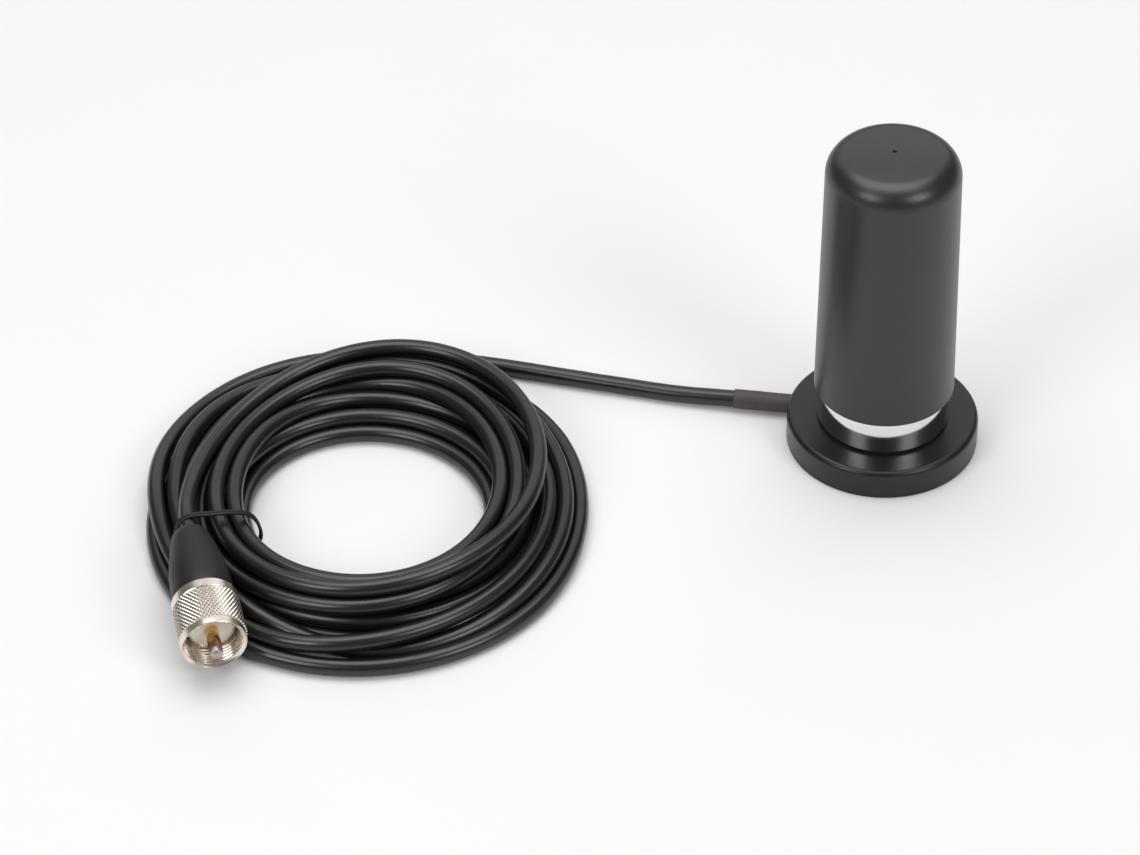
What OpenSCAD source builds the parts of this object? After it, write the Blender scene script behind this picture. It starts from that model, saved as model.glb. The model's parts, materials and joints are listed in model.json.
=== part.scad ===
// Low-profile mobile antenna on a magnetic disc base, with a screw-on radome,
// a side-entry coaxial lead that is coiled and tied, and a screw-on coax plug.
// Origin: centre of the underside of the base, +Z up, the cable leaves towards -X.

/* [Base] */
// Outer diameter of the painted steel cup
base_d = 55.2; // [54:0.2:58]
// Height of the cup's top above the surface it stands on
base_h = 9.1; // [9:0.1:9.6]
// Radius of the cup's top edge
base_edge_r = 1.6; // [0.8:0.1:2]
// Wall thickness of the cup
base_wall = 1.4; // [1.2:0.1:1.6]
// Thickness of the soft pad under the base
pad_t = 0.45; // [0.3:0.05:0.45]

/* [Threaded mount] */
// Outer diameter of the threaded collar on the base
collar_d = 28.5; // [28:0.1:28.57]
// Height of the collar above the cup
collar_h = 7.6; // [6:0.2:7.8]
// Diameter of the stem through the cup's roof
stem_d = 18.6; // [17:0.2:19]

/* [Antenna head] */
// Overall height to the top of the radome
total_h = 102.4; // [98:0.2:110]
// Outer diameter of the bright neck ring
neck_d = 38; // [37.4:0.1:38.4]
// Height at which the radome's lower edge sits
radome_z = 20.3; // [20:0.1:21]
// Outer diameter of the radome at its lower edge
radome_d = 40.2; // [40:0.1:41]
// Diameter lost for each millimetre up the radome
radome_taper = 0.0313; // [0:0.001:0.04]
// Radius of the radome's shoulder
shoulder_r = 7; // [6:0.5:9]
// Height of the crown between the shoulder and the middle
crown_h = 0.8; // [0.4:0.1:1.2]
// Wall thickness of the radome
radome_wall = 1.9; // [1.6:0.1:2]

/* [Radiator] */
// Outer diameter of the plastic former
former_d = 22; // [18:1:24]
// Turns of the radiator winding
radiator_turns = 8; // [5:1:9]
// Diameter of the radiator wire
radiator_wire = 1.4; // [1:0.1:1.6]

/* [Cable] */
// Diameter of the coaxial cable
cable_d = 4.95; // [4.6:0.05:4.95]
// Inner diameter of the coil
coil_inner_d = 69; // [66:1:72]
// Outer diameter of the coil
coil_outer_d = 132.8; // [130:0.4:134]
// Height of the coil
coil_h = 19; // [17:0.5:20]
// Diameter of the heat-shrink sleeve at the base
sleeve_d = 5.6; // [5.4:0.1:5.6]

/* [Plug] */
// Diameter of the knurled coupling ring
ring_d = 18.9; // [18.4:0.1:19.2]
// Length of the coupling ring
ring_len = 16.6; // [16:0.2:17]
// Bore of the ring's thread at its crests
ring_bore = 14.9; // [14.7:0.1:15]
// Diameter of the centre pin
pin_d = 4; // [3.9:0.05:4.1]
// Length of the boot behind the coupling ring
boot_len = 26; // [24:1:26]

/* [Hidden] */
$fn = 96;
base_r = base_d/2;
base_lip_z = 0.3;                      // the cup's lip, just above the surface
roof_t = 1.6;
cup_in_r = base_r - base_wall;
roof_z = base_h - roof_t;              // underside of the cup's roof
fit = 0.15;                            // gap between pieces of one body

// cable's way through the base, seen from above
exit_angle = 170;                      // direction in which it leaves
exit_x = -25.2;
exit_y = 11.2;
exit_z = 3.3;
exit_dir = [cos(exit_angle), sin(exit_angle)];
exit_run = exit_x*exit_dir[0] + exit_y*exit_dir[1];   // wall, measured along the cable's line
line_x = exit_x - exit_run*exit_dir[0];               // the line's nearest point to the centre
line_y = exit_y - exit_run*exit_dir[1];
jacket_end = 9;                        // where the jacket stops, along the line
braid_end = 5.5;
sleeve_in = 19;
sleeve_out = 44;
function line_at(run) = [line_x + run*exit_dir[0], line_y + run*exit_dir[1], exit_z];

// magnet and hub
magnet_in_r = 12;
magnet_out_r = cup_in_r - 0.5;
magnet_z = 0.75;
magnet_h = 6.1;
pole_in_r = 9.2;
pole_h = 4.9;
channel_w = cable_d + 1.2;

// threaded mount
collar_r = collar_d/2;
collar_z = base_h + 0.05;
collar_top = base_h + collar_h;
stem_r = stem_d/2;
stem_z = 6.1;
stem_top = base_h + 3.9;
flange_r = 11.2;
core_r = 4.6;                          // hole in the stem for the insulator
contact_pin_r = 1.5;
contact_z = 2.6;
contact_top = base_h + 6.7;

// seal and neck ring
seal_z = base_h + 0.05;
seal_t = 0.6;
neck_z = seal_z + seal_t + 0.05;
neck_r = neck_d/2;
thread_gap = 0.3;                      // screw threads stand as plain walls this far apart
web_z = base_h + 8.5;
web_t = 2.2;
web_r = 11;
spigot_r = radome_d/2 - radome_wall - 0.2;
spigot_in_r = 14.6;
spigot_top = radome_z + 6.7;

// spring contact
housing_r = 2.5;
housing_bore_r = 1.65;
plunger_r = 1.58;
plunger_tip_z = contact_top + 0.3;
plunger_top_z = 21.4;
spring_top_z = 24.8;
spring_wire_r = 0.2;

// circuit board and what stands on it
board_z = spigot_top + 0.05;
board_t = 1.6;
board_r = spigot_r - 0.4;
board_top = board_z + board_t;
screw_pcd_r = (spigot_in_r + spigot_r)/2;
former_r = former_d/2;
former_wall = 1.8;
former_z = board_top + 0.05;
former_top = total_h - 10.4;
disc_t = 0.8;
disc_r = 14;

// radome
radome_r = radome_d/2;
shoulder_z = total_h - crown_h - shoulder_r;
shoulder_top_r = radome_r - radome_taper/2*(shoulder_z - radome_z);
radome_edge = 0.5;
gate_r = 0.6;                          // moulding mark in the middle of the top

// coil and plug
coil_x = -148.5;
coil_y = -35;
coil_out_x = -149.3;                    // the outer turns lie a little off the inner ones
coil_out_y = -31.5;
coil_z = 0.1;
coil_corner_r = 6;
plug_x = -187.4;
plug_y = -97.1;
plug_z = 13.5;
plug_turn = 12.4;
plug_dip = 3.7;
ring_r = ring_d/2;
rim_r = ring_r - 0.5;
ring_bore_r = ring_bore/2;
thread_depth = 9.5;
socket_depth = 5.6;                    // from the ring's rim to the insulator's face
nose_r = 6.3;
nose_wall = 0.45;
barrel_r = 6.2;
pin_r = pin_d/2;
pin_out = 4;                           // how far the pin stands out past the rim
boot_front = ring_len + 0.3;
boot_back = ring_len + 0.3 + boot_len;
boot_r = 8.4;
boot_tail_r = 4.3;
boot_wall = 1.6;
corridor_r = 9.7;
tie_angle = 197;
tie_wire = 1.1;

// The lead's way from the hub to the coil: straight inside the sleeve, then lying on the surface
route = [
    line_at(jacket_end),
    line_at(sleeve_in),
    line_at(sleeve_in + 9),
    line_at(sleeve_out - 7),
    line_at(sleeve_out),
    [-49, 15.4, 3.1],
    [-56, 16.6, 2.6],
    [-65, 19, 2.6],
    [-75, 22, 2.6],
    [-86, 24.8, 2.6],
    [-98, 28.2, 2.6],
    [-110, 31.7, 2.6],
    [-122, 34.2, 2.6],
    [-132, 35.5, 2.6],
    [-141, 35.6, 2.6]
];

// ---- helpers ----

// Points of an arc about c, from angle a0 to a1
function arc(c, r, a0, a1, n = 12) =
    [for (i = [0:n]) let (a = a0 + (a1 - a0)*i/n) [c[0] + r*cos(a), c[1] + r*sin(a)]];

// One point of the smooth curve that passes through p[i] and p[i+1]
function curve_point(p, i, t) =
    let (a = p[max(i - 1, 0)], b = p[i], c = p[i + 1], d = p[min(i + 2, len(p) - 1)])
    0.5*(2*b + (c - a)*t + (2*a - 5*b + 4*c - d)*t*t + (3*b - a - 3*c + d)*t*t*t);
function smooth(p, steps) =
    concat([for (i = [0:len(p) - 2], k = [0:steps - 1]) curve_point(p, i, k/steps)],
        [p[len(p) - 1]]);

// Round tube swept along a list of points
module tube(points, r, sides) {
    n = len(points);
    rings = [for (i = [0:n - 1])
        let (way = points[min(i + 1, n - 1)] - points[max(i - 1, 0)],
            along = way/norm(way),
            flat = cross(along, [0, 0, 1]),
            side = flat/norm(flat),
            up = cross(side, along))
        [for (k = [0:sides - 1]) let (a = 360*k/sides)
            points[i] + r*(side*cos(a) + up*sin(a))]];
    polyhedron(
        points = [for (ring = rings) each ring],
        faces = concat(
            [[for (k = [sides - 1:-1:0]) k]],
            [for (i = [0:n - 2], k = [0:sides - 1])
                [i*sides + k, i*sides + (k + 1)%sides,
                 (i + 1)*sides + (k + 1)%sides, (i + 1)*sides + k]],
            [[for (k = [0:sides - 1]) (n - 1)*sides + k]]),
        convexity = 6);
}

// Wire wound up the Z axis
module winding(r, wire_r, z0, z1, turns, steps = 20, sides = 6)
    tube([for (i = [0:turns*steps]) let (a = 360*i/steps)
        [r*cos(a), r*sin(a), z0 + (z1 - z0)*i/(turns*steps)]], wire_r, sides);

module ring(r_out, r_in, z, h)
    translate([0, 0, z]) difference() {
        cylinder(r = r_out, h = h);
        translate([0, 0, -1]) cylinder(r = r_in, h = h + 2);
    }

// Places a piece on the cable's line inside the base, +Z running out of the base
module on_exit_line()
    translate([line_x, line_y, exit_z]) rotate([0, 0, exit_angle]) rotate([0, 90, 0]) children();

// Places a piece on the plug's axis, with the ring's rim at 0 and +Z out of the plug
module on_plug()
    translate([plug_x, plug_y, plug_z]) rotate([0, 0, plug_turn])
        rotate([90 + plug_dip, 0, 0]) children();

// The space that the cable takes up between the cup's wall and its hub
module cable_channel(w, z0, z1)
    translate([line_x, line_y, 0]) rotate([0, 0, exit_angle])
        translate([0, -w/2, z0]) cube([base_r + 5, w, z1 - z0]);

// ---- base ----

module base_cup() color([0.13, 0.13, 0.14]) difference() {
    rotate_extrude() polygon(concat(
        [[stem_r + fit, roof_z], [cup_in_r, roof_z], [cup_in_r, base_lip_z], [base_r, base_lip_z]],
        arc([base_r - base_edge_r, base_h - base_edge_r], base_edge_r, 0, 90),
        [[stem_r + fit, base_h]]));
    on_exit_line() translate([0, 0, sleeve_in]) cylinder(r = sleeve_d/2 + 0.1, h = 20);
    translate([line_x, line_y, 0]) rotate([0, 0, exit_angle])
        translate([sleeve_in, -sleeve_d/2 - 0.1, -1]) cube([20, sleeve_d + 0.2, exit_z + 1]);
}

module base_pad() color([0.09, 0.09, 0.1]) cylinder(r = cup_in_r - 0.1, h = pad_t);

module ring_magnet() color([0.28, 0.28, 0.3]) difference() {
    ring(magnet_out_r, magnet_in_r, magnet_z, magnet_h);
    cable_channel(channel_w, 0, base_h);
}

module hub_pole() color([0.62, 0.63, 0.65]) difference() {
    ring(magnet_in_r - 0.4, pole_in_r, magnet_z, pole_h);
    cable_channel(channel_w, 0, base_h);
}

// ---- threaded mount ----

module mount_stem() color([0.8, 0.72, 0.45]) difference() {
    union() {
        translate([0, 0, stem_z]) cylinder(r = flange_r, h = roof_z - 0.1 - stem_z);
        translate([0, 0, stem_z]) cylinder(r = stem_r, h = stem_top - stem_z);
    }
    translate([0, 0, stem_z - 1]) cylinder(r = core_r, h = 20);
}

module threaded_collar() color([0.85, 0.76, 0.48]) difference() {
    translate([0, 0, collar_z]) cylinder(r = collar_r, h = collar_top - collar_z);
    translate([0, 0, collar_z - 1]) cylinder(r = stem_r + fit, h = 20);
    translate([0, 0, stem_top]) cylinder(r = stem_r + 1.2, h = 20);
}

module mount_insulator() color([0.93, 0.92, 0.88]) difference() {
    union() {
        translate([0, 0, stem_z + 0.3]) cylinder(r = core_r - 0.1, h = stem_top - stem_z);
        translate([0, 0, stem_top + 0.1]) cylinder(r = 8.5, h = 1.8);
    }
    translate([0, 0, stem_z - 1]) cylinder(r = contact_pin_r + 0.1, h = 20);
}

module mount_contact() color([0.85, 0.7, 0.35]) {
    translate([0, 0, contact_z]) cylinder(r = contact_pin_r, h = contact_top - contact_z - 0.5);
    translate([0, 0, contact_top - 0.8]) cylinder(r = 3.8, h = 0.8);
}

module solder_lug() color([0.82, 0.74, 0.5]) difference() {
    union() {
        translate([0, 0, exit_z - 0.4]) cylinder(r = 2.6, h = 0.8);
        translate([line_x, line_y, exit_z - 0.4]) cylinder(r = 1.6, h = 0.8);
        translate([0, 0, exit_z - 0.4]) rotate([0, 0, atan2(line_y, line_x)])
            translate([0, -1.25, 0]) cube([norm([line_x, line_y]), 2.5, 0.8]);
    }
    translate([0, 0, exit_z - 1]) cylinder(r = contact_pin_r + 0.05, h = 2);
}

// ---- lead ----

module cable_braid() color([0.72, 0.7, 0.66]) on_exit_line()
    translate([0, 0, braid_end]) difference() {
        cylinder(r = cable_d/2 - 0.6, h = jacket_end - braid_end - 0.05);
        translate([0, 0, -1]) cylinder(r = 1.5, h = 10);
    }

module cable_core() color([0.92, 0.92, 0.9]) on_exit_line() {
    translate([0, 0, 2.2]) cylinder(r = 1.45, h = jacket_end - 2.3);
    translate([0, 0, 1.7]) cylinder(r = 0.45, h = 2);
}

module heat_shrink_sleeve() color([0.16, 0.15, 0.17])
    on_exit_line() translate([0, 0, sleeve_in]) difference() {
        cylinder(r = sleeve_d/2, h = sleeve_out - sleeve_in);
        translate([0, 0, -1]) cylinder(r = cable_d/2 + 0.08, h = sleeve_out);
    }

module cable_run() color([0.1, 0.1, 0.11]) tube(smooth(route, 4), cable_d/2, 12);

module cable_coil() color([0.1, 0.1, 0.11]) difference() {
    translate([coil_out_x, coil_out_y, coil_z]) rotate_extrude() polygon(concat(
        [[0, 0]],
        arc([coil_outer_d/2 - coil_corner_r, coil_corner_r], coil_corner_r, -90, 0, 8),
        arc([coil_outer_d/2 - coil_corner_r, coil_h - coil_corner_r], coil_corner_r, 0, 90, 8),
        [[0, coil_h]]));
    translate([coil_x, coil_y, coil_z]) rotate_extrude() polygon(concat(
        [[0, -2], [coil_inner_d/2 + coil_corner_r - 1, -2]],
        arc([coil_inner_d/2 + coil_corner_r, coil_corner_r], coil_corner_r, 260, 180, 8),
        arc([coil_inner_d/2 + coil_corner_r, coil_h - coil_corner_r], coil_corner_r, 180, 100, 8),
        [[coil_inner_d/2 + coil_corner_r - 1, coil_h + 2], [0, coil_h + 2]]));
    on_plug() translate([0, 0, -boot_back]) cylinder(r = corridor_r, h = 70);
}

module tie_outline(grow)
    translate([-11.4 - grow, 0.15 - grow]) square([22.8 + 2*grow, coil_h - 1 + 2*grow]);

module coil_tie() color([0.08, 0.08, 0.09])
    translate([coil_x, coil_y, tie_wire]) rotate([0, 0, tie_angle])
        translate([coil_inner_d/2 + 10.3, 0, 0]) rotate([90, 0, 0])
            linear_extrude(tie_wire, center = true) difference() {
                tie_outline(tie_wire);
                tie_outline(0);
            }

// ---- plug ----

module cable_tail() color([0.1, 0.1, 0.11]) on_plug() {
    translate([0, 0, -boot_back]) cylinder(r = cable_d/2, h = boot_len - 4);
    translate([0, 0, -boot_back]) cylinder(r = 1.45, h = boot_len - 0.5);
    translate([0, 0, -boot_back]) cylinder(r = 0.45, h = boot_len + 0.9);
}

module plug_boot() color([0.09, 0.09, 0.1]) on_plug() rotate_extrude() polygon([
    [boot_r - boot_wall, -boot_front], [boot_r, -boot_front], [boot_r, -boot_front - 6],
    [boot_r - 0.5, -boot_front - 11], [boot_r - 1.5, -boot_front - 17],
    [boot_tail_r + 1.2, -boot_back + 3], [boot_tail_r, -boot_back],
    [cable_d/2 + 0.1, -boot_back], [cable_d/2 + 0.1, -boot_back + 4],
    [boot_r - boot_wall, -boot_front - 15]]);

module plug_shell() color([0.78, 0.74, 0.68]) on_plug() rotate_extrude() polygon([
    [nose_r - nose_wall, -socket_depth], [nose_r, -socket_depth], [nose_r, -thread_depth - 2],
    [ring_bore_r - 0.3, -thread_depth - 2], [ring_bore_r - 0.3, -thread_depth - 3.5],
    [barrel_r, -thread_depth - 3.5], [barrel_r, -boot_front - 10],
    [barrel_r - 1.1, -boot_front - 10], [barrel_r - 1.1, -socket_depth - 3],
    [nose_r - nose_wall, -socket_depth - 3]]);

module plug_reducer() color([0.8, 0.76, 0.7]) on_plug() rotate_extrude() polygon([
    [cable_d/2 + 0.1, -boot_front - 13.5], [barrel_r, -boot_front - 13.5],
    [barrel_r, -boot_front - 10.1], [barrel_r - 1.2, -boot_front - 10.1],
    [barrel_r - 1.2, -boot_front], [cable_d/2 + 0.1, -boot_front]]);

module plug_insulator() color([0.93, 0.9, 0.82]) on_plug() difference() {
    union() {
        translate([0, 0, -boot_front + 0.3]) cylinder(r = barrel_r - 1.2, h = boot_front - 1.3 - socket_depth);
        translate([0, 0, -socket_depth - 2.9]) cylinder(r = nose_r - nose_wall - 0.05, h = 2.9);
    }
    translate([0, 0, -boot_front]) cylinder(r = 1.6, h = 30);
}

module plug_pin() color([0.82, 0.62, 0.3]) on_plug() {
    translate([0, 0, -boot_front + 1]) cylinder(r = 1.5, h = boot_front);
    translate([0, 0, -socket_depth]) cylinder(r = pin_r, h = socket_depth + pin_out - 0.6);
    translate([0, 0, pin_out - 0.6]) cylinder(r1 = pin_r, r2 = pin_r - 0.6, h = 0.6);
}

module coupling_ring() color([0.82, 0.78, 0.72]) on_plug() rotate_extrude() polygon([
    [ring_bore_r, -1.2], [rim_r - 0.4, 0], [rim_r - 0.1, 0], [rim_r, -0.2],
    [rim_r, -2.2], [ring_r, -2.7], [ring_r, -13.2], [ring_r - 0.4, -13.6],
    [ring_r - 0.4, -ring_len + 0.2], [ring_r - 0.6, -ring_len],
    [barrel_r + 0.3, -ring_len], [barrel_r + 0.3, -thread_depth - 3.8],
    [ring_bore_r, -thread_depth - 3.8]]);

// ---- seal and neck ring ----

module seal_ring() color([0.06, 0.06, 0.06]) ring(neck_r - 0.3, collar_r + 0.6, seal_z, seal_t);

module neck_ring() color([0.86, 0.87, 0.88]) difference() {
    union() {
        translate([0, 0, neck_z]) cylinder(r1 = neck_r - 0.3, r2 = neck_r, h = 0.3);
        translate([0, 0, neck_z + 0.3]) cylinder(r = neck_r, h = radome_z - 0.1 - neck_z - 0.3);
        translate([0, 0, neck_z + 2]) cylinder(r = spigot_r, h = spigot_top - neck_z - 2);
    }
    translate([0, 0, neck_z - 1]) cylinder(r = collar_r + thread_gap, h = web_z - neck_z + 1);
    translate([0, 0, neck_z]) cylinder(r = web_r, h = 40);
    translate([0, 0, web_z + web_t]) cylinder(r = spigot_in_r, h = 40);
    for (a = [0, 120, 240]) rotate([0, 0, a])
        translate([screw_pcd_r, 0, spigot_top - 5]) cylinder(r = 0.95, h = 10);
}

// ---- radome ----

module radome() color([0.14, 0.14, 0.15]) {
    in_r = shoulder_r - radome_wall;
    top_r = shoulder_top_r - shoulder_r;
    lean = atan(2*crown_h*top_r/(top_r*top_r - crown_h*crown_h));  // where the shoulder runs into the crown
    crown_r = shoulder_r + top_r/sin(lean);
    difference() {
        rotate_extrude() polygon(concat(
            [[radome_r - radome_wall, radome_z], [radome_r - radome_edge, radome_z]],
            arc([radome_r - radome_edge, radome_z + radome_edge], radome_edge, -60, 0, 4),
            arc([top_r, shoulder_z], shoulder_r, 0, 90 - lean, 24),
            [for (i = [1:9]) let (a = lean*(1 - i/9)) [crown_r*sin(a), total_h - crown_r*(1 - cos(a))]],
            [[0, total_h - radome_wall], [top_r, total_h - radome_wall - crown_h]],
            arc([top_r, shoulder_z], in_r, 80, 0, 12)));
        translate([0, 0, total_h - 0.45]) cylinder(r = gate_r, h = 2, $fn = 24);
    }
}

// ---- inside the head ----

module insulator_disc() color([0.9, 0.89, 0.84]) difference() {
    union() {
        translate([0, 0, web_z]) cylinder(r = web_r - 0.1, h = web_t + 0.05);
        translate([0, 0, web_z + web_t + 0.05]) cylinder(r = spigot_in_r - 0.2, h = 1.6);
    }
    translate([0, 0, web_z - 1]) cylinder(r = housing_r + 0.05, h = 10);
}

module contact_housing() color([0.83, 0.68, 0.33]) difference() {
    union() {
        translate([0, 0, web_z - 0.3]) cylinder(r = housing_r, h = spring_top_z + 0.9 - web_z);
        translate([0, 0, spring_top_z]) cylinder(r = 1.4, h = board_top + 0.6 - spring_top_z);
    }
    translate([0, 0, web_z - 1]) cylinder(r = housing_bore_r, h = spring_top_z + 1 - web_z);
}

module contact_plunger() color([0.88, 0.76, 0.42]) {
    translate([0, 0, plunger_tip_z]) cylinder(r1 = plunger_r - 0.5, r2 = plunger_r, h = 0.5);
    translate([0, 0, plunger_tip_z + 0.5])
        cylinder(r = plunger_r, h = plunger_top_z - plunger_tip_z - 0.5);
}

module contact_spring() color([0.7, 0.71, 0.73])
    winding(housing_bore_r - 0.45, spring_wire_r, plunger_top_z + 0.3, spring_top_z - 0.3, 5, 14);

module feed_board() color([0.12, 0.36, 0.2]) difference() {
    translate([0, 0, board_z]) cylinder(r = board_r, h = board_t);
    translate([0, 0, board_z - 1]) cylinder(r = 1.5, h = 4);
    for (a = [0, 120, 240]) rotate([0, 0, a])
        translate([screw_pcd_r, 0, board_z - 1]) cylinder(r = 1.05, h = 4);
}

module board_screws() color([0.75, 0.76, 0.78])
    for (a = [0, 120, 240]) rotate([0, 0, a]) translate([screw_pcd_r, 0, 0]) {
        translate([0, 0, spigot_top - 4.5]) cylinder(r = 0.85, h = board_top + 0.1 - spigot_top + 4.5);
        difference() {
            translate([0, 0, board_top + 0.05]) cylinder(r = 1.4, h = 1.1);
            translate([0, 0, board_top + 0.65]) cylinder(r = 0.6, h = 2, $fn = 6);
        }
    }

module trimmer_capacitor() color([0.85, 0.45, 0.12]) translate([0, -13.6, board_top + 0.05])
    difference() {
        union() {
            translate([-2, -1.6, 0]) cube([4, 3.2, 1.6]);
            cylinder(r = 1.5, h = 2.4);
        }
        translate([-1.1, -0.2, 2]) cube([2.2, 0.4, 2]);
    }

module matching_coil() color([0.78, 0.45, 0.2]) translate([0, 14.6, board_top + 2.4])
    rotate([0, 90, 0]) translate([0, 0, -4.5]) tube([for (i = [0:84]) let (a = 360*i/14)
        [1.7*cos(a), 1.7*sin(a), 9*i/84]], 0.35, 6);

module radiator_former() color([0.92, 0.92, 0.9])
    ring(former_r, former_r - former_wall, former_z, former_top - former_z);

module former_plug() color([0.9, 0.9, 0.88]) difference() {
    translate([0, 0, former_top - 6]) cylinder(r = former_r - former_wall - 0.1, h = 6);
    translate([0, 0, former_top - 7]) cylinder(r = 1.6, h = 10);
}

module radiator_wire_coil() color([0.8, 0.47, 0.2])
    winding(former_r + radiator_wire/2 + 0.1, radiator_wire/2, former_z + 3, former_top - 3,
        radiator_turns, 24, 6);

module top_disc() color([0.84, 0.7, 0.36]) difference() {
    translate([0, 0, former_top + 0.05]) cylinder(r = disc_r, h = disc_t);
    translate([0, 0, former_top - 1]) cylinder(r = 1.6, h = 4);
}

module top_screw() color([0.75, 0.76, 0.78]) {
    translate([0, 0, former_top - 5]) cylinder(r = 1.5, h = 5 + disc_t + 0.2);
    difference() {
        translate([0, 0, former_top + disc_t + 0.1]) cylinder(r = 2.8, h = 1.6);
        translate([-3, -0.35, former_top + disc_t + 1]) cube([6, 0.7, 2]);
    }
}

module foam_spacer() color([0.35, 0.35, 0.37]) difference() {
    translate([0, 0, former_top + disc_t + 0.2])
        cylinder(r = 11.4, h = total_h - radome_wall - crown_h - 0.2 - former_top - disc_t - 0.2);
    translate([0, 0, former_top]) cylinder(r = 3.2, h = 4);
}

base_cup();
base_pad();
ring_magnet();
hub_pole();
mount_stem();
threaded_collar();
mount_insulator();
mount_contact();
solder_lug();
cable_braid();
cable_core();
heat_shrink_sleeve();
cable_run();
cable_coil();
coil_tie();
cable_tail();
plug_boot();
plug_shell();
plug_reducer();
plug_insulator();
plug_pin();
coupling_ring();
seal_ring();
neck_ring();
radome();
insulator_disc();
contact_housing();
contact_plunger();
contact_spring();
feed_board();
board_screws();
trimmer_capacitor();
matching_coil();
radiator_former();
former_plug();
radiator_wire_coil();
top_disc();
top_screw();
foam_spacer();
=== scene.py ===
import bpy, bmesh, json, math
import numpy as np
from mathutils import Matrix, Vector, noise


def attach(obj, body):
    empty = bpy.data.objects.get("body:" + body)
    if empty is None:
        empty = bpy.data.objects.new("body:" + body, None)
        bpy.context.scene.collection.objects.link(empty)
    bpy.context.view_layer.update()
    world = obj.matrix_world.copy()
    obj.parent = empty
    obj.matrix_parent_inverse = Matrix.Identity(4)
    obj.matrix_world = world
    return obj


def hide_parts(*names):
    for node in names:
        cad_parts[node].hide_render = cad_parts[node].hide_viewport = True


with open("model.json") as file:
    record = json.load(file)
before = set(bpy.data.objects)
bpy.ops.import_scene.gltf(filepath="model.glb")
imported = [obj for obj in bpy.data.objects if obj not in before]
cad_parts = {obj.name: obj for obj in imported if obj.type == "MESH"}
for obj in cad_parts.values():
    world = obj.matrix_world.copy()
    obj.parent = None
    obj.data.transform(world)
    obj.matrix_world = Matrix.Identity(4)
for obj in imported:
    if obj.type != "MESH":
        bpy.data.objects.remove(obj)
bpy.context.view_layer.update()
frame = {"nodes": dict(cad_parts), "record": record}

print("frame loaded,", len(frame["nodes"]), "nodes")

# ------- helpers for meshes

def newPiece(name, bm, body, angle):
    mesh = bpy.data.meshes.new(name)
    bmesh.ops.recalc_face_normals(bm, faces=bm.faces)
    bm.to_mesh(mesh)
    bm.free()
    piece = bpy.data.objects.new(name, mesh)
    bpy.context.scene.collection.objects.link(piece)
    mesh.shade_smooth()
    mesh.set_sharp_from_angle(angle=math.radians(angle))
    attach(piece, body)
    return piece

def lathe(profile, steps, closed=True):
    # profile is (radius, height) pairs; a closed one goes all the way round its section
    bm = bmesh.new()
    verts = [bm.verts.new((r, 0, z)) for r, z in profile]
    edges = [bm.edges.new(pair) for pair in zip(verts, verts[1:])]
    if closed:
        edges.append(bm.edges.new((verts[-1], verts[0])))
    bmesh.ops.spin(bm, geom=verts + edges, cent=(0, 0, 0), axis=(0, 0, 1), angle=math.tau,
                   steps=steps, use_merge=True)
    bmesh.ops.remove_doubles(bm, verts=bm.verts, dist=1e-7)
    return bm

def place(bm, matrix):
    bmesh.ops.transform(bm, matrix=matrix, verts=bm.verts)

def softNoise(p, scale, seed=0.0):
    return noise.noise(Vector(p) * scale + Vector((seed, seed * 1.7, seed * 0.6)))

def sweep(name, lines, depth, resolution, sides, cyclic=False, caps=False):
    # a round section along smooth lines, turned into a mesh so that its surface can be worked on
    curve = bpy.data.curves.new(name, "CURVE")
    curve.dimensions = "3D"
    curve.bevel_depth, curve.bevel_resolution = depth, sides
    curve.resolution_u = resolution
    curve.use_fill_caps = caps
    for line in lines:
        spline = curve.splines.new("NURBS")
        spline.points.add(len(line) - 1)
        for point, at in zip(spline.points, line):
            point.co = (*at, 1)
        spline.order_u = 4
        spline.use_endpoint_u = not cyclic
        spline.use_cyclic_u = cyclic
    drawn = bpy.data.objects.new(name, curve)
    bpy.context.scene.collection.objects.link(drawn)
    mesh = bpy.data.meshes.new_from_object(drawn.evaluated_get(bpy.context.evaluated_depsgraph_get()))
    bpy.data.objects.remove(drawn)
    mesh.name = name
    mesh.shade_smooth()
    piece = bpy.data.objects.new(name, mesh)
    bpy.context.scene.collection.objects.link(piece)
    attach(piece, "base")
    return piece

# ------- camera

camera = {"at": (-0.0904, -0.88177, 0.75661), "pitch": 40.43, "roll": 1.11, "lens": 126.3}

def makeCamera():
    pitch, roll = math.radians(camera["pitch"]), math.radians(camera["roll"])
    right = Vector((1, 0, 0))
    up = Vector((0, math.sin(pitch), math.cos(pitch)))
    ahead = Vector((0, math.cos(pitch), -math.sin(pitch)))
    x = right * math.cos(roll) - up * math.sin(roll)
    y = right * math.sin(roll) + up * math.cos(roll)
    data = bpy.data.cameras.new("camera")
    data.lens, data.sensor_width = camera["lens"], 36
    data.clip_start, data.clip_end = 0.05, 20
    made = bpy.data.objects.new("camera", data)
    made.matrix_world = Matrix.Translation(camera["at"]) @ Matrix((x, y, -ahead)).transposed().to_4x4()
    bpy.context.scene.collection.objects.link(made)
    bpy.context.scene.camera = made

makeCamera()

# ------- plug axis: rim of the coupling ring, +Z out of the plug

plug = {"at": (-0.1874, -0.0971, 0.0135), "turn": 12.4, "dip": 3.7, "bootEnd": 0.0429}
onPlug = (Matrix.Translation(plug["at"]) @ Matrix.Rotation(math.radians(plug["turn"]), 4, "Z")
          @ Matrix.Rotation(math.radians(90 + plug["dip"]), 4, "X"))
plugAxis = (onPlug.to_3x3() @ Vector((0, 0, 1))).normalized()

def alongPlug(z):
    return Vector(plug["at"]) + plugAxis * z

# ------- the lead: a free run from the base, then a hand-wound coil that ends in the plug

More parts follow.
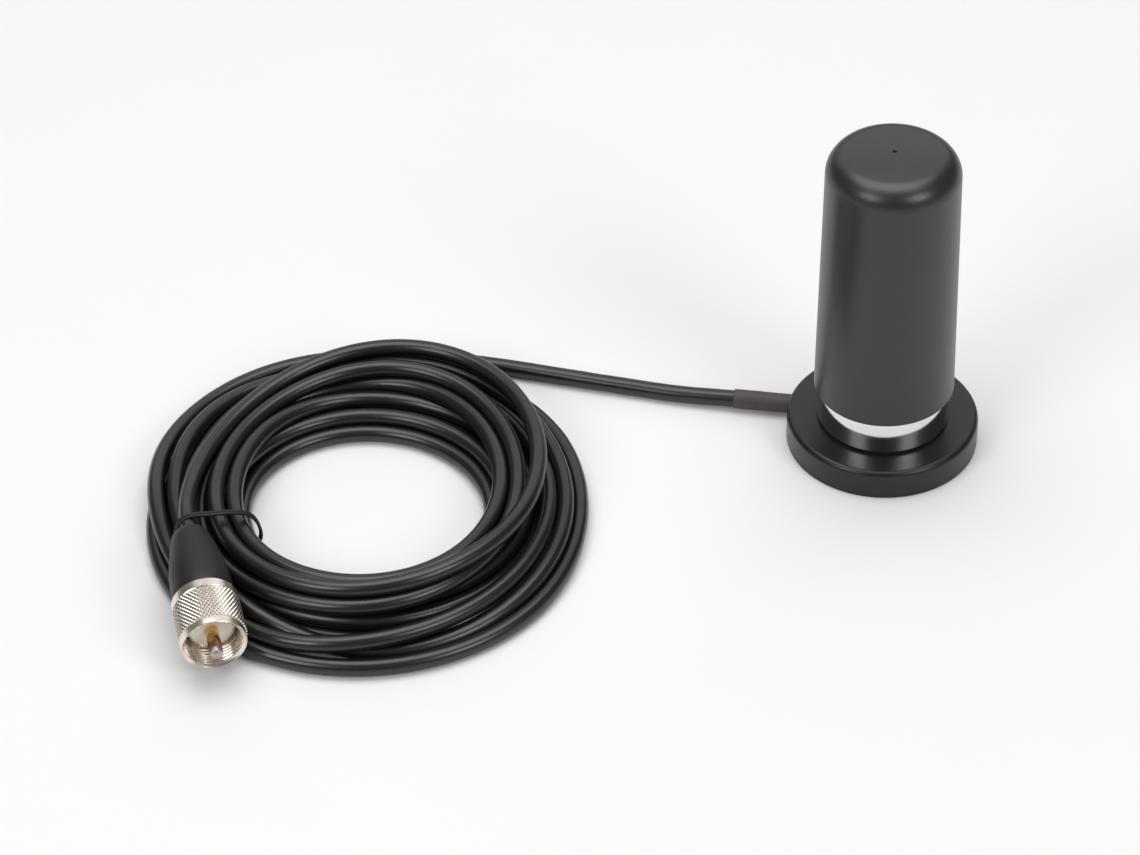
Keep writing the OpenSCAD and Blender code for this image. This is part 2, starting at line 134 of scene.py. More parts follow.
lead = {
    "diameter": 0.00495,
    "exit": (-0.0252, 0.0112, 0.0033),
    "exitAngle": 170,                     # degrees, the way it leaves the base
    "straight": (0.009, 0.019, 0.028, 0.037, 0.044),
    "run": [(-0.049, 0.0154, 0.0031), (-0.056, 0.0166, 0.0026), (-0.065, 0.019, 0.0026), (-0.075, 0.022, 0.0026),
            (-0.086, 0.0248, 0.0026), (-0.098, 0.0283, 0.0026), (-0.110, 0.0317, 0.0026), (-0.122, 0.0346, 0.0026),
            (-0.134, 0.0363, 0.0026)],
    "centre": (-0.1485, -0.035),
    # one line a turn: (radius, height) in mm at the back, left, front and right
    "turns": [
        [(71.5, 2.6), (58.5, 6.6), (54.0, 6.9), (52.5, 10.0)],
        [(60.5, 7.2), (60.3, 2.6), (61.5, 2.6), (60.0, 2.6)],
        [(65.5, 2.6), (54.0, 7.5), (56.5, 2.6), (56.3, 6.6)],
        [(62.0, 11.8), (55.4, 2.6), (51.3, 2.6), (54.5, 2.6)],
        [(58.2, 2.6), (50.6, 2.6), (49.3, 7.6), (49.3, 3.0)],
        [(53.1, 2.6), (45.8, 2.6), (45.0, 2.6), (44.0, 2.6)],
        [(48.0, 2.6), (41.0, 2.6), (39.8, 3.4), (38.0, 2.6)],
        [(39.2, 2.6), (37.0, 3.2), (43.5, 7.0), (41.5, 7.2)],
        [(44.2, 6.0), (42.3, 7.2), (42.8, 11.0), (47.0, 8.0)],
        [(48.9, 7.8), (38.7, 9.5), (39.0, 14.0), (38.5, 11.0)],
        [(53.6, 8.9), (47.5, 8.0), (47.2, 12.1), (43.0, 13.0)],
        [(55.2, 13.6), (43.0, 12.8), (45.5, 17.0), (48.3, 17.0)],
        [(61.8, 16.7), (50.0, 13.8)],
    ],
    # where a strand has to pass between those: turn, degrees on from the back, radius, height
    "between": [(0, 16, 74.3, 2.6), (0, 31, 74.0, 2.6), (0, 45, 70.5, 2.8), (0, 62, 66.0, 4.2),
                (0, 73, 61.6, 6.0), (0, 135, 54.2, 2.7), (1, 135, 58.3, 2.6), (1, 225, 58.5, 2.6),
                (1, 315, 66.8, 2.6), (2, 135, 49.6, 3.0), (6, 315, 39.0, 2.6), (7, 45, 42.5, 2.6), (11, 45, 46.8, 13.8),
                (11, 225, 45.5, 15.8), (11, 315, 59.0, 17.0), (11, 335, 64.0, 17.0),
                (12, 45, 51.5, 15.0)],
    "spacing": 13.0,      # mm between control points, about 24 a turn
    "rounds": 220,        # settling steps
    "weight": 0.06,       # mm that a free strand drops at a step
    "pull": (0.04, 0.04, 0.03),     # share of the way back to where it was laid, at a step
    "smoothing": 0.3,
    "held": (9, 3),       # control points that stay put at the base and at the plug
    # what the strands keep clear of round the plug: mm along it, and radius there
    "plugGirth": [(-43, 4.5), (-39, 5.7), (-34, 7.1), (-28, 8.1), (-23, 8.6), (-17, 9.6), (2.0, 9.6)],
    "dents": 0.00009,
    "dented": (-0.045, -0.125),     # where along x the dents start and end
}

def exitLine(s):
    a = math.radians(lead["exitAngle"])
    way = Vector((math.cos(a), math.sin(a), 0))
    out = Vector(lead["exit"])
    foot = out - way * Vector((out.x, out.y, 0)).dot(way)
    return foot + way * s

def throughPoints(t, v, u):
    # a smooth curve through uneven stations
    t, v = np.array(t, float), np.array(v, float)
    gap = np.diff(t)[:, None]
    slope = np.diff(v, axis=0) / gap
    m = np.vstack([slope[:1], (slope[1:] * gap[:-1] + slope[:-1] * gap[1:]) / (gap[1:] + gap[:-1]), slope[-1:]])
    i = np.clip(np.searchsorted(t, u) - 1, 0, len(t) - 2)
    h = (t[i + 1] - t[i])[:, None]
    s = (u - t[i])[:, None] / h
    return ((2 * s**3 - 3 * s**2 + 1) * v[i] + (s**3 - 2 * s**2 + s) * h * m[i]
            + (3 * s**2 - 2 * s**3) * v[i + 1] + (s**3 - s**2) * h * m[i + 1])

def travelled(p):
    return np.concatenate([[0], np.cumsum(np.linalg.norm(np.diff(p, axis=0), axis=1))])

def drawLay():
    # the given start of the route, in mm
    first = [exitLine(s) * 1000 for s in lead["straight"]] + [Vector(p) * 1000 for p in lead["run"]]
    first = np.array(first)
    s = travelled(first)
    runLine = throughPoints(s, first, np.arange(0, s[-1], 6.0))
    centre = np.array(lead["centre"]) * 1000
    stations = [(turn * 360 + q * 90, r, z) for turn, row in enumerate(lead["turns"]) for q, (r, z) in enumerate(row)]
    stations += [(turn * 360 + a, r, z) for turn, a, r, z in lead["between"]]
    end = np.array(alongPlug(-plug["bootEnd"] - 0.009)) * 1000
    angle = math.degrees(math.atan2(end[1] - centre[1], end[0] - centre[0])) % 360
    stations.append((12 * 360 + angle - 90, math.hypot(*(end[:2] - centre)), end[2]))
    stations.sort()
    t = [a for a, r, z in stations]
    u = np.linspace(0, t[-1], int(t[-1] / 6) + 1)
    rz = throughPoints(t, [(r, z) for a, r, z in stations], u)
    turned = np.radians(u + 90)
    coil = np.stack([centre[0] + rz[:, 0] * np.cos(turned), centre[1] + rz[:, 0] * np.sin(turned), rz[:, 1]], 1)
    tail = np.array([alongPlug(-plug["bootEnd"] - d) for d in (0.004, -0.001, -0.006)]) * 1000
    return np.concatenate([runLine, coil, tail])

def settleLead():
    # strands push each other a diameter apart, drop a little and stay smooth
    d, fine = lead["diameter"] * 1000, 4
    start = drawLay()
    s = travelled(start)
    n = int(s[-1] / lead["spacing"]) + 1
    x = np.stack([np.interp(np.linspace(0, s[-1], n), s, start[:, k]) for k in range(3)], 1)
    home, free = x.copy(), np.ones(n)
    free[:lead["held"][0]], free[-lead["held"][1]:] = 0, 0
    u = np.arange(fine) / fine
    blend = np.stack([(1 - u)**3, 3 * u**3 - 6 * u**2 + 4, -3 * u**3 + 3 * u**2 + 3 * u + 1, u**3], 1) / 6
    spread = np.zeros(((n - 3) * fine, n))
    for k in range(n - 3):
        spread[k * fine:(k + 1) * fine, k:k + 4] = blend
    share = spread.sum(0)[:, None]
    apart = math.ceil(2.5 * d * fine / lead["spacing"])
    pairs = np.triu(np.ones((len(spread), len(spread)), bool), apart)
    axis, rim = np.array(plugAxis), np.array(plug["at"]) * 1000
    along, girth = np.array(lead["plugGirth"]).T
    low = d / 2 + 0.1
    for step in range(lead["rounds"]):
        ease = 0.35 if step > lead["rounds"] * 0.8 else 1.0
        x[:, 2] -= lead["weight"] * ease * free
        x += (home - x) * np.array(lead["pull"]) * ease * free[:, None]
        bend = np.zeros_like(x)
        bend[2:-2] = (4 * (x[1:-3] + x[3:-1]) - (x[:-4] + x[4:])) / 6 - x[2:-2]
        x += lead["smoothing"] * bend * free[:, None]
        for _ in range(2):
            p = spread @ x
            square = (p**2).sum(1)
            near = square[:, None] + square[None, :] - 2 * p @ p.T
            i, j = np.nonzero((near < d * d) & pairs)
            push, hits = np.zeros_like(p), np.zeros(len(p))
            v = p[i] - p[j]
            size = np.sqrt((v**2).sum(1)) + 1e-9
            v *= ((d - size) / size * 0.5)[:, None]
            np.add.at(push, i, v), np.add.at(push, j, -v)
            np.add.at(hits, i, 1), np.add.at(hits, j, 1)
            push /= np.maximum(hits, 1)[:, None]
            off = p - rim                            # the boot and ring hold strands off too
            depth = off @ axis
            side = off - depth[:, None] * axis
            reach = np.linalg.norm(side, axis=1)
            need = np.interp(depth, along, girth) + d / 2
            inside = (depth > along[0] + 2) & (depth < 3) & (reach < need)
            push[inside] += side[inside] * ((need - reach) / np.maximum(reach, 1e-6))[inside][:, None]
            push[:, 2] += np.maximum(low - p[:, 2] - push[:, 2], 0)
            x += spread.T @ push / np.maximum(share, 1e-6) * 1.5 * free[:, None]
        x[:, 2] = np.maximum(x[:, 2], low * free)
    return x, spread @ x

def makeLead():
    control, line = settleLead()
    piece = sweep("leadCord", [control / 1000], lead["diameter"] / 2, resolution=5, sides=7)
    ends = np.concatenate([control[:1], line, control[-1:]]) / 1000
    s = travelled(ends)
    # the jacket is a little dented where it was bent by hand beyond the sleeve
    near, far = lead["dented"]
    for vert in piece.data.vertices:
        where = vert.co.x
        if where > far:
            amount = min(1, max(0, (near - where) / 0.006)) * min(1, max(0, (where - far) / 0.04))
            k = softNoise((vert.co.x * 0.45, vert.co.y, vert.co.z), 420) + 0.5 * softNoise(vert.co, 900, 4)
            vert.co += vert.normal * (lead["dents"] * k - 0.00001) * amount
    return piece, ends, s[-1]

leadCord, leadLine, leadLength = makeLead()
print("lead settled,", round(leadLength, 3), "m")

# ------- heat-shrink sleeve over the lead where it leaves the base

sleeve = {"from": 0.0195, "to": 0.044, "diameter": 0.0056, "unevenness": 0.00009}

def makeSleeve():
    line = [exitLine(sleeve["from"] + k * (sleeve["to"] - sleeve["from"]) / 11) for k in range(12)]
    piece = sweep("entrySleeve", [line], sleeve["diameter"] / 2, resolution=6, sides=8, caps=True)
    bm = bmesh.new()
    bm.from_mesh(piece.data)
    bmesh.ops.remove_doubles(bm, verts=bm.verts, dist=1e-6)
    rim = [e for e in bm.edges if len(e.link_faces) == 2 and e.calc_face_angle(0) > 1.2]
    bmesh.ops.bevel(bm, geom=rim, offset=0.00012, segments=2, profile=0.5, affect="EDGES", material=-1)
    bm.normal_update()
    for vert in bm.verts:
        k = softNoise(vert.co, 260) + 0.35 * softNoise(vert.co, 900, 3)
        vert.co += vert.normal * sleeve["unevenness"] * k
    bm.to_mesh(piece.data)
    bm.free()
    piece.data.shade_smooth()
    piece.data.set_sharp_from_angle(angle=math.radians(50))
    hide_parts("heat_shrink_sleeve")
    return piece

entrySleeve = makeSleeve()

# ------- wire tie round the coil, just behind the plug

# angle round the coil, first strands left out of it, and how far and which way it bows
tie = {"angle": 198, "wire": 0.00095, "outside": 2, "slack": 0.0004, "bow": 0.0016, "bowAt": 150, "points": 45,
       "middle": 0.0085}

def strandsAt(angle):
    # (radius, height) of each strand where it crosses the angle, in turn order
    a = math.radians(angle)
    way = np.array([math.cos(a), math.sin(a)])
    rel = leadLine[:, :2] - np.array(lead["centre"])
    ahead, side = rel @ way, rel @ np.array([-way[1], way[0]])
    found = []
    for k in range(len(side) - 1):
        if ahead[k] > 0 and side[k] < 0 <= side[k + 1]:
            f = -side[k] / (side[k + 1] - side[k])
            low, high = leadLine[k, 2], leadLine[k + 1, 2]
            found.append((ahead[k] + f * (ahead[k + 1] - ahead[k]), low + f * (high - low)))
    return found, way

def hullRound(points):
    points = sorted(points)
    def half(row):
        kept = []
        for p in row:
            while len(kept) > 1 and ((kept[-1][0] - kept[-2][0]) * (p[1] - kept[-2][1])
                                     - (kept[-1][1] - kept[-2][1]) * (p[0] - kept[-2][0])) <= 0:
                kept.pop()
            kept.append(p)
        return kept[:-1]
    return half(points) + half(points[::-1])

def makeTie():
    found, way = strandsAt(tie["angle"])
    held = found[tie["outside"]:]
    reach = lead["diameter"] / 2 + tie["wire"] / 2 + tie["slack"]
    loop = hullRound([(r + reach * math.cos(t), max(z + reach * math.sin(t), tie["wire"] / 2 + 0.0001))
                      for r, z in held for t in np.linspace(0, math.tau, 24, endpoint=False)])
    loop = np.array(loop + loop[:1])
    s = travelled(loop)
    spots = np.linspace(0, s[-1], tie["points"] + 1)[:-1]
    even = np.stack([np.interp(spots, s, loop[:, k]) for k in (0, 1)], 1)
    middle = np.array([np.mean([r for r, z in held]), tie["middle"]])
    bow = (even - middle) / np.linalg.norm(even - middle, axis=1)[:, None]
    lean = math.radians(tie["bowAt"])
    even += bow * (tie["bow"] * np.clip(bow @ (math.cos(lean), math.sin(lean)), 0, 1)**2)[:, None]
    for _ in range(3):
        even = (np.roll(even, 1, 0) + 2 * even + np.roll(even, -1, 0)) / 4
    side = np.array([-way[1], way[0], 0])
    lines = []
    for gap in (-0.5, 0.5):
        line = []
        for k, (r, z) in enumerate(even):
            spot = np.array([*(np.array(lead["centre"]) + way * r), z])
            line.append(spot + side * tie["wire"] * (gap * 1.02 + 0.5 * math.sin(k / tie["points"] * math.tau)))
        lines.append(line)
    piece = sweep("coilTie", lines, tie["wire"] / 2, resolution=3, sides=2, cyclic=True)
    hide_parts("coil_tie")
    return piece

coilTie = makeTie()

# ------- strain-relief boot on the plug

boot = {"profile": [(16.9, 8.25), (17.4, 8.45), (20, 8.45), (23.5, 8.42), (27, 8.15), (30.5, 7.6), (34, 6.9),
                    (37.5, 6.2), (40.4, 5.5), (42.2, 4.75), (42.9, 4.0), (42.75, 3.2), (42.0, 2.75)],
        "wall": 1.6, "bore": 2.55}

def makeBoot():
    outer = [(r / 1000, -z / 1000) for z, r in boot["profile"]]
    inner = [(max(r - boot["wall"], boot["bore"]) / 1000, -z / 1000) for z, r in boot["profile"][-5::-2]]
    bm = lathe(outer + [(boot["bore"] / 1000, -0.0405)] + inner + [(0.0066, -0.0171)], steps=96)
    bm.normal_update()
    for vert in bm.verts:   # a soft moulding, pressed slightly out of round
        turn = math.atan2(vert.co.y, vert.co.x)
        k = 0.00010 * math.sin(2 * turn + 0.8) + 0.00006 * softNoise(vert.co, 140)
        if math.hypot(vert.co.x, vert.co.y) > 0.003:
            vert.co += Vector((vert.co.x, vert.co.y, 0)).normalized() * k
    place(bm, onPlug)
    piece = newPiece("strainBoot", bm, "base", angle=60)
    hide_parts("plug_boot")
    return piece

strainBoot = makeBoot()

# ------- coupling ring: knurled outside, threaded inside

# mm: diamonds are counted round it and rise along it, thread is its pitch
ring = {"radius": 9.45, "bore": 7.85, "rim": 9.0, "diamonds": 52, "knurl": (-2.5, -13.5), "rise": 1.58,
        "deep": 0.36, "slope": (0, 0.64, 1), "thread": 1.058, "threadDeep": 0.34, "threaded": 9.3}

def makeRing():
    columns = ring["diamonds"] * 4
    top, bottom = ring["knurl"]
    rows = round((top - bottom) / ring["rise"]) * 4
    outer = [(8.32, -0.42), (8.76, -0.05), (8.82, 0.0), (ring["rim"] - 0.12, 0.0), (ring["rim"], -0.12),
             (ring["rim"] + 0.06, -1.2), (ring["rim"] + 0.1, -2.1), (ring["rim"] + 0.08, -2.4)]
    knurl = [(ring["radius"], top + (bottom - top) * k / rows) for k in range(rows + 1)]
    rear = [(ring["radius"] - 0.3, -13.6), (ring["radius"] - 0.14, -13.8), (ring["radius"] - 0.14, -16.3),
            (9.15, -16.55), (8.9, -16.6), (6.9, -16.6), (6.9, -11.2), (ring["bore"] + 0.45, -11.0),
            (ring["bore"] + 0.45, -10.2)]
    count = round(ring["threaded"] / ring["thread"] * 6)
    thread = [(ring["bore"], -9.9 + (9.9 - 0.6) * k / count) for k in range(count + 1)]
    bm = lathe([(r / 1000, z / 1000) for r, z in outer + knurl + rear + thread], steps=columns)
    low, high = (bottom - 0.001) / 1000, (top + 0.001) / 1000
    lowest = set()
    for vert in bm.verts:
        r, turn = math.hypot(vert.co.x, vert.co.y), math.atan2(vert.co.y, vert.co.x)
        z = vert.co.z * 1000
        grow = 0
        if r > (ring["radius"] - 0.05) / 1000 and low <= vert.co.z <= high:
            around = round((turn / math.tau * columns)) / 4
            down = round((top - z) / ((top - bottom) / rows)) / 4
            one, two = (around + down) % 1, (around - down) % 1
            off = min(min(one, 1 - one), min(two, 1 - two))
            grow = -ring["deep"] * (1 - ring["slope"][min(2, round(off * 4))])
            if off < 0.01:
                lowest.add(vert)
        elif r < (ring["bore"] + 0.02) / 1000 and z > -10:
            phase = (z / ring["thread"] - turn / math.tau) % 1
            fade = min(1, max(0, (z + 9.8) / 0.8))
            grow = ring["threadDeep"] * (1 - (1 - abs(phase - 0.5) * 2) * fade)
        if grow:
            way = Vector((vert.co.x, vert.co.y, 0)).normalized()
            vert.co += way * grow / 1000
    for face in list(bm.faces):     # the grooves run along the low corners
        pair = [v for v in face.verts if v in lowest]
        if len(face.verts) == 4 and len(pair) == 1:
            a = face.verts[:].index(pair[0])
            bmesh.utils.face_split(face, face.verts[a], face.verts[(a + 2) % 4])
    place(bm, onPlug)
    piece = newPiece("couplingRing", bm, "coupling", angle=24)
    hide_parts("coupling_ring")
    return piece

couplingRing = makeRing()

# ------- centre pin: a hollow gold-plated pin with the lead's core soldered in its end

pin = {"radius": 1.86, "from": -5.7, "to": 3.9}

def makePin():
    r, out = pin["radius"], pin["to"]
    shape = [(0, pin["from"] - 0.4), (r, pin["from"] - 0.4), (r, out - 2.2), (r * 0.99, out - 1.1),
             (r * 0.95, out - 0.5), (r * 0.86, out - 0.12), (r * 0.7, out), (r * 0.5, out + 0.12),
             (r * 0.3, out + 0.3), (r * 0.12, out + 0.36), (0, out + 0.38)]
    fine = []
    for a, b in zip(shape, shape[1:]):
        parts = 8 if abs(a[1] - b[1]) > 3 else 2
        fine += [(a[0] + (b[0] - a[0]) * k / parts, a[1] + (b[1] - a[1]) * k / parts) for k in range(parts)]
    fine.append(shape[-1])
    bm = lathe([(x / 1000, z / 1000) for x, z in fine], steps=48, closed=False)
    for vert in bm.verts:
        z = vert.co.z * 1000
        amount = max(0, min(1, (z - out + 2.4) / 1.6))
        k = softNoise(vert.co, 900) + 0.7 * softNoise(vert.co, 2100, 5)
        way = Vector((vert.co.x, vert.co.y, 0.0012 * amount))
        if way.length > 1e-7:
            vert.co += way.normalized() * 0.00022 * k * amount
    place(bm, onPlug)
    piece = newPiece("centrePin", bm, "base", angle=70)
    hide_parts("plug_pin")
    return piece

centrePin = makePin()

onLead = [entrySleeve, coilTie, strainBoot, centrePin, couplingRing]
onLead += [frame["nodes"][name] for name in ("cable_tail", "plug_reducer", "plug_shell", "plug_insulator")]
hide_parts("cable_run", "cable_coil")
print("pieces on the lead made")

# ------- materials

class Wire:
    # a node's output, so that shader maths can be written as sums
    def __init__(self, sheet, out):
        self.sheet, self.out = sheet, out
    def maths(self, operation, a, b):
        return self.sheet.add("ShaderNodeMath", {"operation": operation}, {0: a, 1: b})
    def __add__(self, other): return self.maths("ADD", self, other)
    def __radd__(self, other): return self.maths("ADD", other, self)
    def __sub__(self, other): return self.maths("SUBTRACT", self, other)
    def __rsub__(self, other): return self.maths("SUBTRACT", other, self)
    def __mul__(self, other): return self.maths("MULTIPLY", self, other)
    def __rmul__(self, other): return self.maths("MULTIPLY", other, self)

class Finish:
    def __init__(self, name):
        self.material = bpy.data.materials.new(name)
        self.material.use_nodes = True
        self.tree = self.material.node_tree
        self.tree.nodes.clear()
        self.shader = self.tree.nodes.new("ShaderNodeBsdfPrincipled")
        end = self.tree.nodes.new("ShaderNodeOutputMaterial")
        self.tree.links.new(self.shader.outputs[0], end.inputs[0])
        self.place = self.add("ShaderNodeTexCoord", {}, {}, "Object")
    def add(self, kind, settings, values, out=0):
        node = self.tree.nodes.new(kind)
        for name, value in settings.items():
            setattr(node, name, value)
        for name, value in values.items():
            self.put(node.inputs[name], value)
        return Wire(self, node.outputs[out])
    def put(self, socket, value):
        if isinstance(value, Wire):
            self.tree.links.new(value.out, socket)
        elif hasattr(socket.default_value, "__len__") and len(socket.default_value) == 4 and len(value) == 3:
            socket.default_value = (*value, 1)
        else:
            socket.default_value = value
    def noise(self, scale, detail, stretch=None):
        spot = self.place
        if stretch:
            spot = self.add("ShaderNodeMapping", {}, {"Vector": spot, "Scale": stretch}, "Vector")
        values = {"Vector": spot, "Scale": scale, "Detail": detail, "Roughness": 0.55}
        return self.add("ShaderNodeTexNoise", {}, values, "Fac")
    def span(self, value, low, high):
        # 0 below low, 1 above high
        return self.add("ShaderNodeMapRange", {}, {"Value": value, "From Min": low, "From Max": high}, 0)
    def mix(self, mask, a, b):
        return self.add("ShaderNodeMix", {"data_type": "RGBA"}, {0: mask, 6: a, 7: b}, 2)
    def bump(self, height, distance, strength):
        return self.add("ShaderNodeBump", {}, {"Height": height, "Distance": distance, "Strength": strength}, "Normal")
    def use(self, **values):
        for name, value in values.items():
            self.put(self.shader.inputs[name.replace("_", " ")], value)
        return self.material

def jacketFinish():
    # extruded PVC: satin, with a faint bumpy grain, dust and rubbed patches
    f = Finish("cable jacket")
    cloudy, fine = f.noise(38, 4), f.noise(900, 3)
    specks = f.span(f.noise(2600, 1), 0.74, 0.78)
    tone = f.mix(cloudy, (0.006, 0.006, 0.0065), (0.0095, 0.0095, 0.010))
    colour = f.mix(specks * 0.35, tone, (0.05, 0.05, 0.05))
    height = fine * 0.6 + f.noise(170, 2) * 0.8
    return f.use(Base_Color=colour, Roughness=0.24 + cloudy * 0.08 + fine * 0.03, Specular_IOR_Level=0.6,
                 Normal=f.bump(height, 0.00004, 0.12))

def sleeveFinish():
    f = Finish("heat shrink")
    cloudy, fine = f.noise(160, 4), f.noise(1500, 3)
    colour = f.mix(cloudy, (0.044, 0.036, 0.043), (0.076, 0.064, 0.073))
    return f.use(Base_Color=colour, Roughness=0.5 + fine * 0.16, Normal=f.bump(fine + cloudy, 0.00008, 0.5))

def bootFinish():
    f = Finish("boot rubber")
    cloudy, fine = f.noise(90, 4), f.noise(2200, 2)
    colour = f.mix(cloudy, (0.0075, 0.0075, 0.0082), (0.0125, 0.0125, 0.0132))
    return f.use(Base_Color=colour, Roughness=0.44 + cloudy * 0.12, Specular_IOR_Level=0.4,
                 Normal=f.bump(fine, 0.00003, 0.45))

def radomeFinish():
    # moulded plastic with a fine spark-eroded grain
    f = Finish("radome plastic")
    grain, cloudy = f.noise(1700, 2), f.noise(45, 3)
    colour = f.mix(cloudy, (0.0105, 0.0105, 0.0110), (0.0145, 0.0145, 0.0150))
    return f.use(Base_Color=colour, Roughness=0.31 + cloudy * 0.08, Normal=f.bump(grain, 0.00007, 0.5),
                 Specular_IOR_Level=0.66)

def paintFinish():
    f = Finish("painted cup")
    peel, cloudy = f.noise(420, 2), f.noise(60, 4)
    colour = f.mix(cloudy, (0.005, 0.005, 0.0055), (0.0085, 0.0085, 0.009))
    return f.use(Base_Color=colour, Roughness=0.29 + cloudy * 0.1, Normal=f.bump(peel, 0.00003, 0.25), Coat_Weight=0.08,
                 Coat_Roughness=0.2, Specular_IOR_Level=0.42)

def chromeFinish():
    # turned and polished, so any marks run round the axis
    f = Finish("bright neck")
    lines = f.noise(900, 2, stretch=(0.03, 0.03, 2.2))
    smudge = f.noise(70, 4)
    return f.use(Base_Color=f.mix(smudge, (0.80, 0.80, 0.81), (0.88, 0.88, 0.885)), Metallic=1.0,
                 Roughness=0.045 + smudge * 0.05 + lines * 0.03, Normal=f.bump(lines, 0.00002, 0.12))

def nickelFinish():
    f = Finish("plug nickel")
    cloudy, fine = f.noise(120, 4), f.noise(1400, 3)
    stain = f.span(f.noise(240, 5), 0.56, 0.72)
    colour = f.mix(stain * 0.35, f.mix(cloudy, (0.80, 0.72, 0.64), (0.90, 0.83, 0.75)), (0.48, 0.38, 0.28))
    return f.use(Base_Color=colour, Metallic=1.0, Roughness=0.2 + cloudy * 0.12 + stain * 0.12,
                 Normal=f.bump(fine, 0.00001, 0.1))

def pinFinish():
    # gold-plated brass, stained by flux, with grey solder over the tip
    f = Finish("pin gold")
    way = f.add("ShaderNodeVectorMath", {"operation": "SUBTRACT"}, {0: f.place, 1: plug["at"]}, "Vector")
    depth = f.add("ShaderNodeVectorMath", {"operation": "DOT_PRODUCT"}, {0: way, 1: tuple(plugAxis)}, "Value")
    rough = f.noise(700, 4)
    solder = f.span(depth + (rough - 0.5) * 0.0022, pin["to"] / 1000 - 0.0034, pin["to"] / 1000 - 0.0012)
    burnt = f.span(f.noise(420, 5) + f.span(depth, -0.005, 0.002) * 0.28, 0.5, 0.74)
    gold = f.mix(burnt, (0.96, 0.62, 0.26), (0.24, 0.12, 0.07))
    colour = f.mix(solder, gold, f.mix(f.noise(1500, 3), (0.26, 0.20, 0.20), (0.66, 0.62, 0.63)))
    return f.use(Base_Color=colour, Metallic=1.0, Roughness=0.24 + rough * 0.22,
                 Normal=f.bump(f.noise(1300, 4), 0.00012, 0.5))

def plasticFinish(name, dark, light, roughness, grain=1200):
    f = Finish(name)
    cloudy, fine = f.noise(130, 4), f.noise(grain, 3)
    return f.use(Base_Color=f.mix(cloudy, dark, light), Roughness=roughness + cloudy * 0.12,
                 Normal=f.bump(fine, 0.00004, 0.35))

def metalFinish(name, dark, light, roughness, grain=900, stretch=None):
    f = Finish(name)
    cloudy, fine = f.noise(110, 4), f.noise(grain, 3, stretch=stretch)
    return f.use(Base_Color=f.mix(cloudy, dark, light), Metallic=1.0, Roughness=roughness + cloudy * 0.12 + fine * 0.06,
                 Normal=f.bump(fine, 0.00003, 0.3))

def braidFinish():
    f = Finish("copper braid")
    weave = f.add("ShaderNodeTexWave", {"bands_direction": "DIAGONAL"},
                  {"Vector": f.place, "Scale": 1600, "Distortion": 1.5}, "Fac")
    return f.use(Base_Color=f.mix(weave, (0.35, 0.3, 0.26), (0.75, 0.7, 0.66)), Metallic=1.0,
                 Roughness=0.3 + weave * 0.2, Normal=f.bump(weave, 0.00015, 0.8))

def boardFinish():
    f = Finish("board green")
    weave = f.add("ShaderNodeTexChecker", {}, {"Vector": f.place, "Scale": 1400}, "Fac")
    cloudy = f.noise(200, 3)
    return f.use(Base_Color=f.mix(cloudy, (0.01, 0.09, 0.03), (0.02, 0.14, 0.05)), Roughness=0.3 + weave * 0.08,
                 Normal=f.bump(weave, 0.00002, 0.3))

finishes = {
    "painted_cup": paintFinish(),
    "base_pad": plasticFinish("base pad", (0.012, 0.012, 0.013), (0.03, 0.03, 0.031), 0.6, 1900),
    "magnet": metalFinish("magnet nickel", (0.5, 0.5, 0.5), (0.66, 0.66, 0.65), 0.25),
    "steel": metalFinish("zinced steel", (0.5, 0.51, 0.53), (0.68, 0.69, 0.7), 0.28),
    "plated_brass": metalFinish("plated brass", (0.66, 0.6, 0.5), (0.8, 0.75, 0.66), 0.16, 1200, (0.1, 0.1, 2.0)),
    "bright_neck": chromeFinish(),
    "plug_nickel": nickelFinish(),
    "pin_gold": pinFinish(),
    "white_plastic": plasticFinish("cream insulator", (0.95, 0.89, 0.77), (0.98, 0.94, 0.86), 0.32),
    "radome_plastic": radomeFinish(),
    "cable_jacket": jacketFinish(),
    "heat_shrink": sleeveFinish(),
    "boot_rubber": bootFinish(),
    "seal_rubber": plasticFinish("seal rubber", (0.008, 0.008, 0.008), (0.016, 0.016, 0.016), 0.5, 2400),
    "braid": braidFinish(),
    "board_green": boardFinish(),
    "copper": metalFinish("bright copper", (0.72, 0.33, 0.17), (0.88, 0.5, 0.32), 0.18),
    "trimmer_orange": plasticFinish("trimmer orange", (0.6, 0.2, 0.03), (0.75, 0.3, 0.06), 0.35),
    "foam": plasticFinish("foam spacer", (0.35, 0.35, 0.36), (0.55, 0.55, 0.56), 0.85, 3000),
}

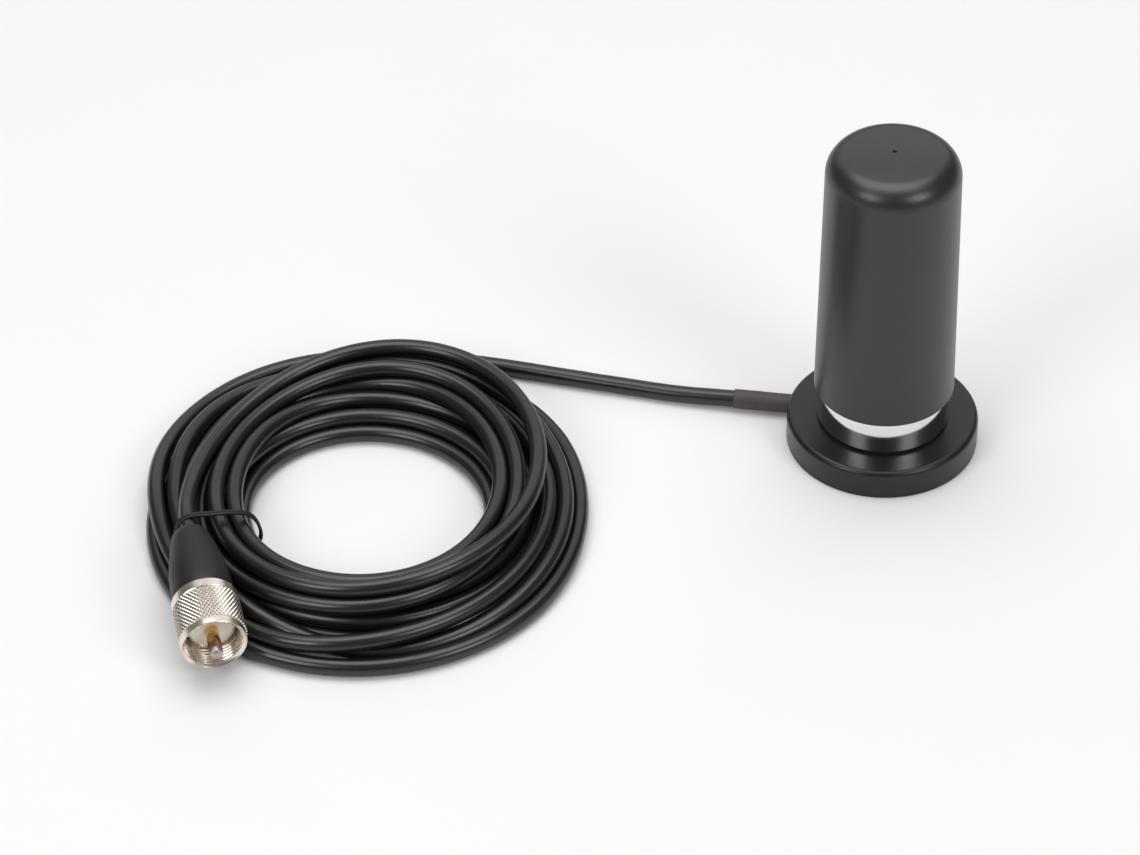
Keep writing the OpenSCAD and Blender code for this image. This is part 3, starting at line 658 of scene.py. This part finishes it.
slotByNode = {part["node"]: part["material_slot"] for part in frame["record"]["subparts"]}
for name, node in frame["nodes"].items():
    finish = finishes[slotByNode[name]]
    if not node.material_slots:
        node.data.materials.append(finish)
    for slot in node.material_slots:
        slot.material = finish
for piece, slotName in ((leadCord, "cable_jacket"), (entrySleeve, "heat_shrink"), (coilTie, "boot_rubber"),
                        (strainBoot, "boot_rubber"), (couplingRing, "plug_nickel"), (centrePin, "pin_gold")):
    piece.data.materials.clear()
    piece.data.materials.append(finishes[slotName])
print("finishes made,", len(finishes))

# ------- floor, lights and world

studio = {"floor": 0.83, "world": 0.16,
          # where it stands, what it looks at, width, height, power: overhead, two in front, one low behind
          "lights": [((-0.10, 0.16, 1.28), (-0.09, -0.02, 0.0), 1.4, 1.0, 13.5),
                     ((-0.85, -0.80, 0.85), (-0.09, -0.02, 0.03), 0.55, 0.55, 5.2),
                     ((0.75, -0.82, 0.85), (-0.05, 0.0, 0.04), 0.55, 0.55, 5.2),
                     ((-0.05, 1.45, 0.95), (-0.05, 0.0, 0.05), 2.4, 1.0, 6.5)]}

def makeStudio():
    bm = bmesh.new()
    bmesh.ops.create_grid(bm, x_segments=8, y_segments=8, size=3)
    mesh = bpy.data.meshes.new("floor")
    bm.to_mesh(mesh)
    bm.free()
    floor = bpy.data.objects.new("floor", mesh)
    bpy.context.scene.collection.objects.link(floor)
    f = Finish("paper floor")
    tint = f.noise(40, 3)
    level = studio["floor"]
    paper = f.use(Base_Color=f.mix(tint, (level - 0.01,) * 3, (level,) * 3), Roughness=0.75 + tint * 0.1,
                  Normal=f.bump(f.noise(900, 2), 0.00002, 0.1))
    floor.data.materials.append(paper)
    for k, (at, to, wide, tall, power) in enumerate(studio["lights"]):
        data = bpy.data.lights.new(f"softbox{k}", "AREA")
        data.shape, data.size, data.size_y, data.energy = "RECTANGLE", wide, tall, power
        light = bpy.data.objects.new(f"softbox{k}", data)
        way = Vector(to) - Vector(at)
        light.matrix_world = Matrix.Translation(at) @ way.to_track_quat("-Z", "Y").to_matrix().to_4x4()
        bpy.context.scene.collection.objects.link(light)
    world = bpy.data.worlds.new("studio")
    world.use_nodes = True
    world.node_tree.nodes["Background"].inputs[0].default_value = (1, 1, 1, 1)
    world.node_tree.nodes["Background"].inputs[1].default_value = studio["world"]
    bpy.context.scene.world = world
    bpy.context.scene.view_settings.view_transform = "Standard"

makeStudio()

print("scene ready")
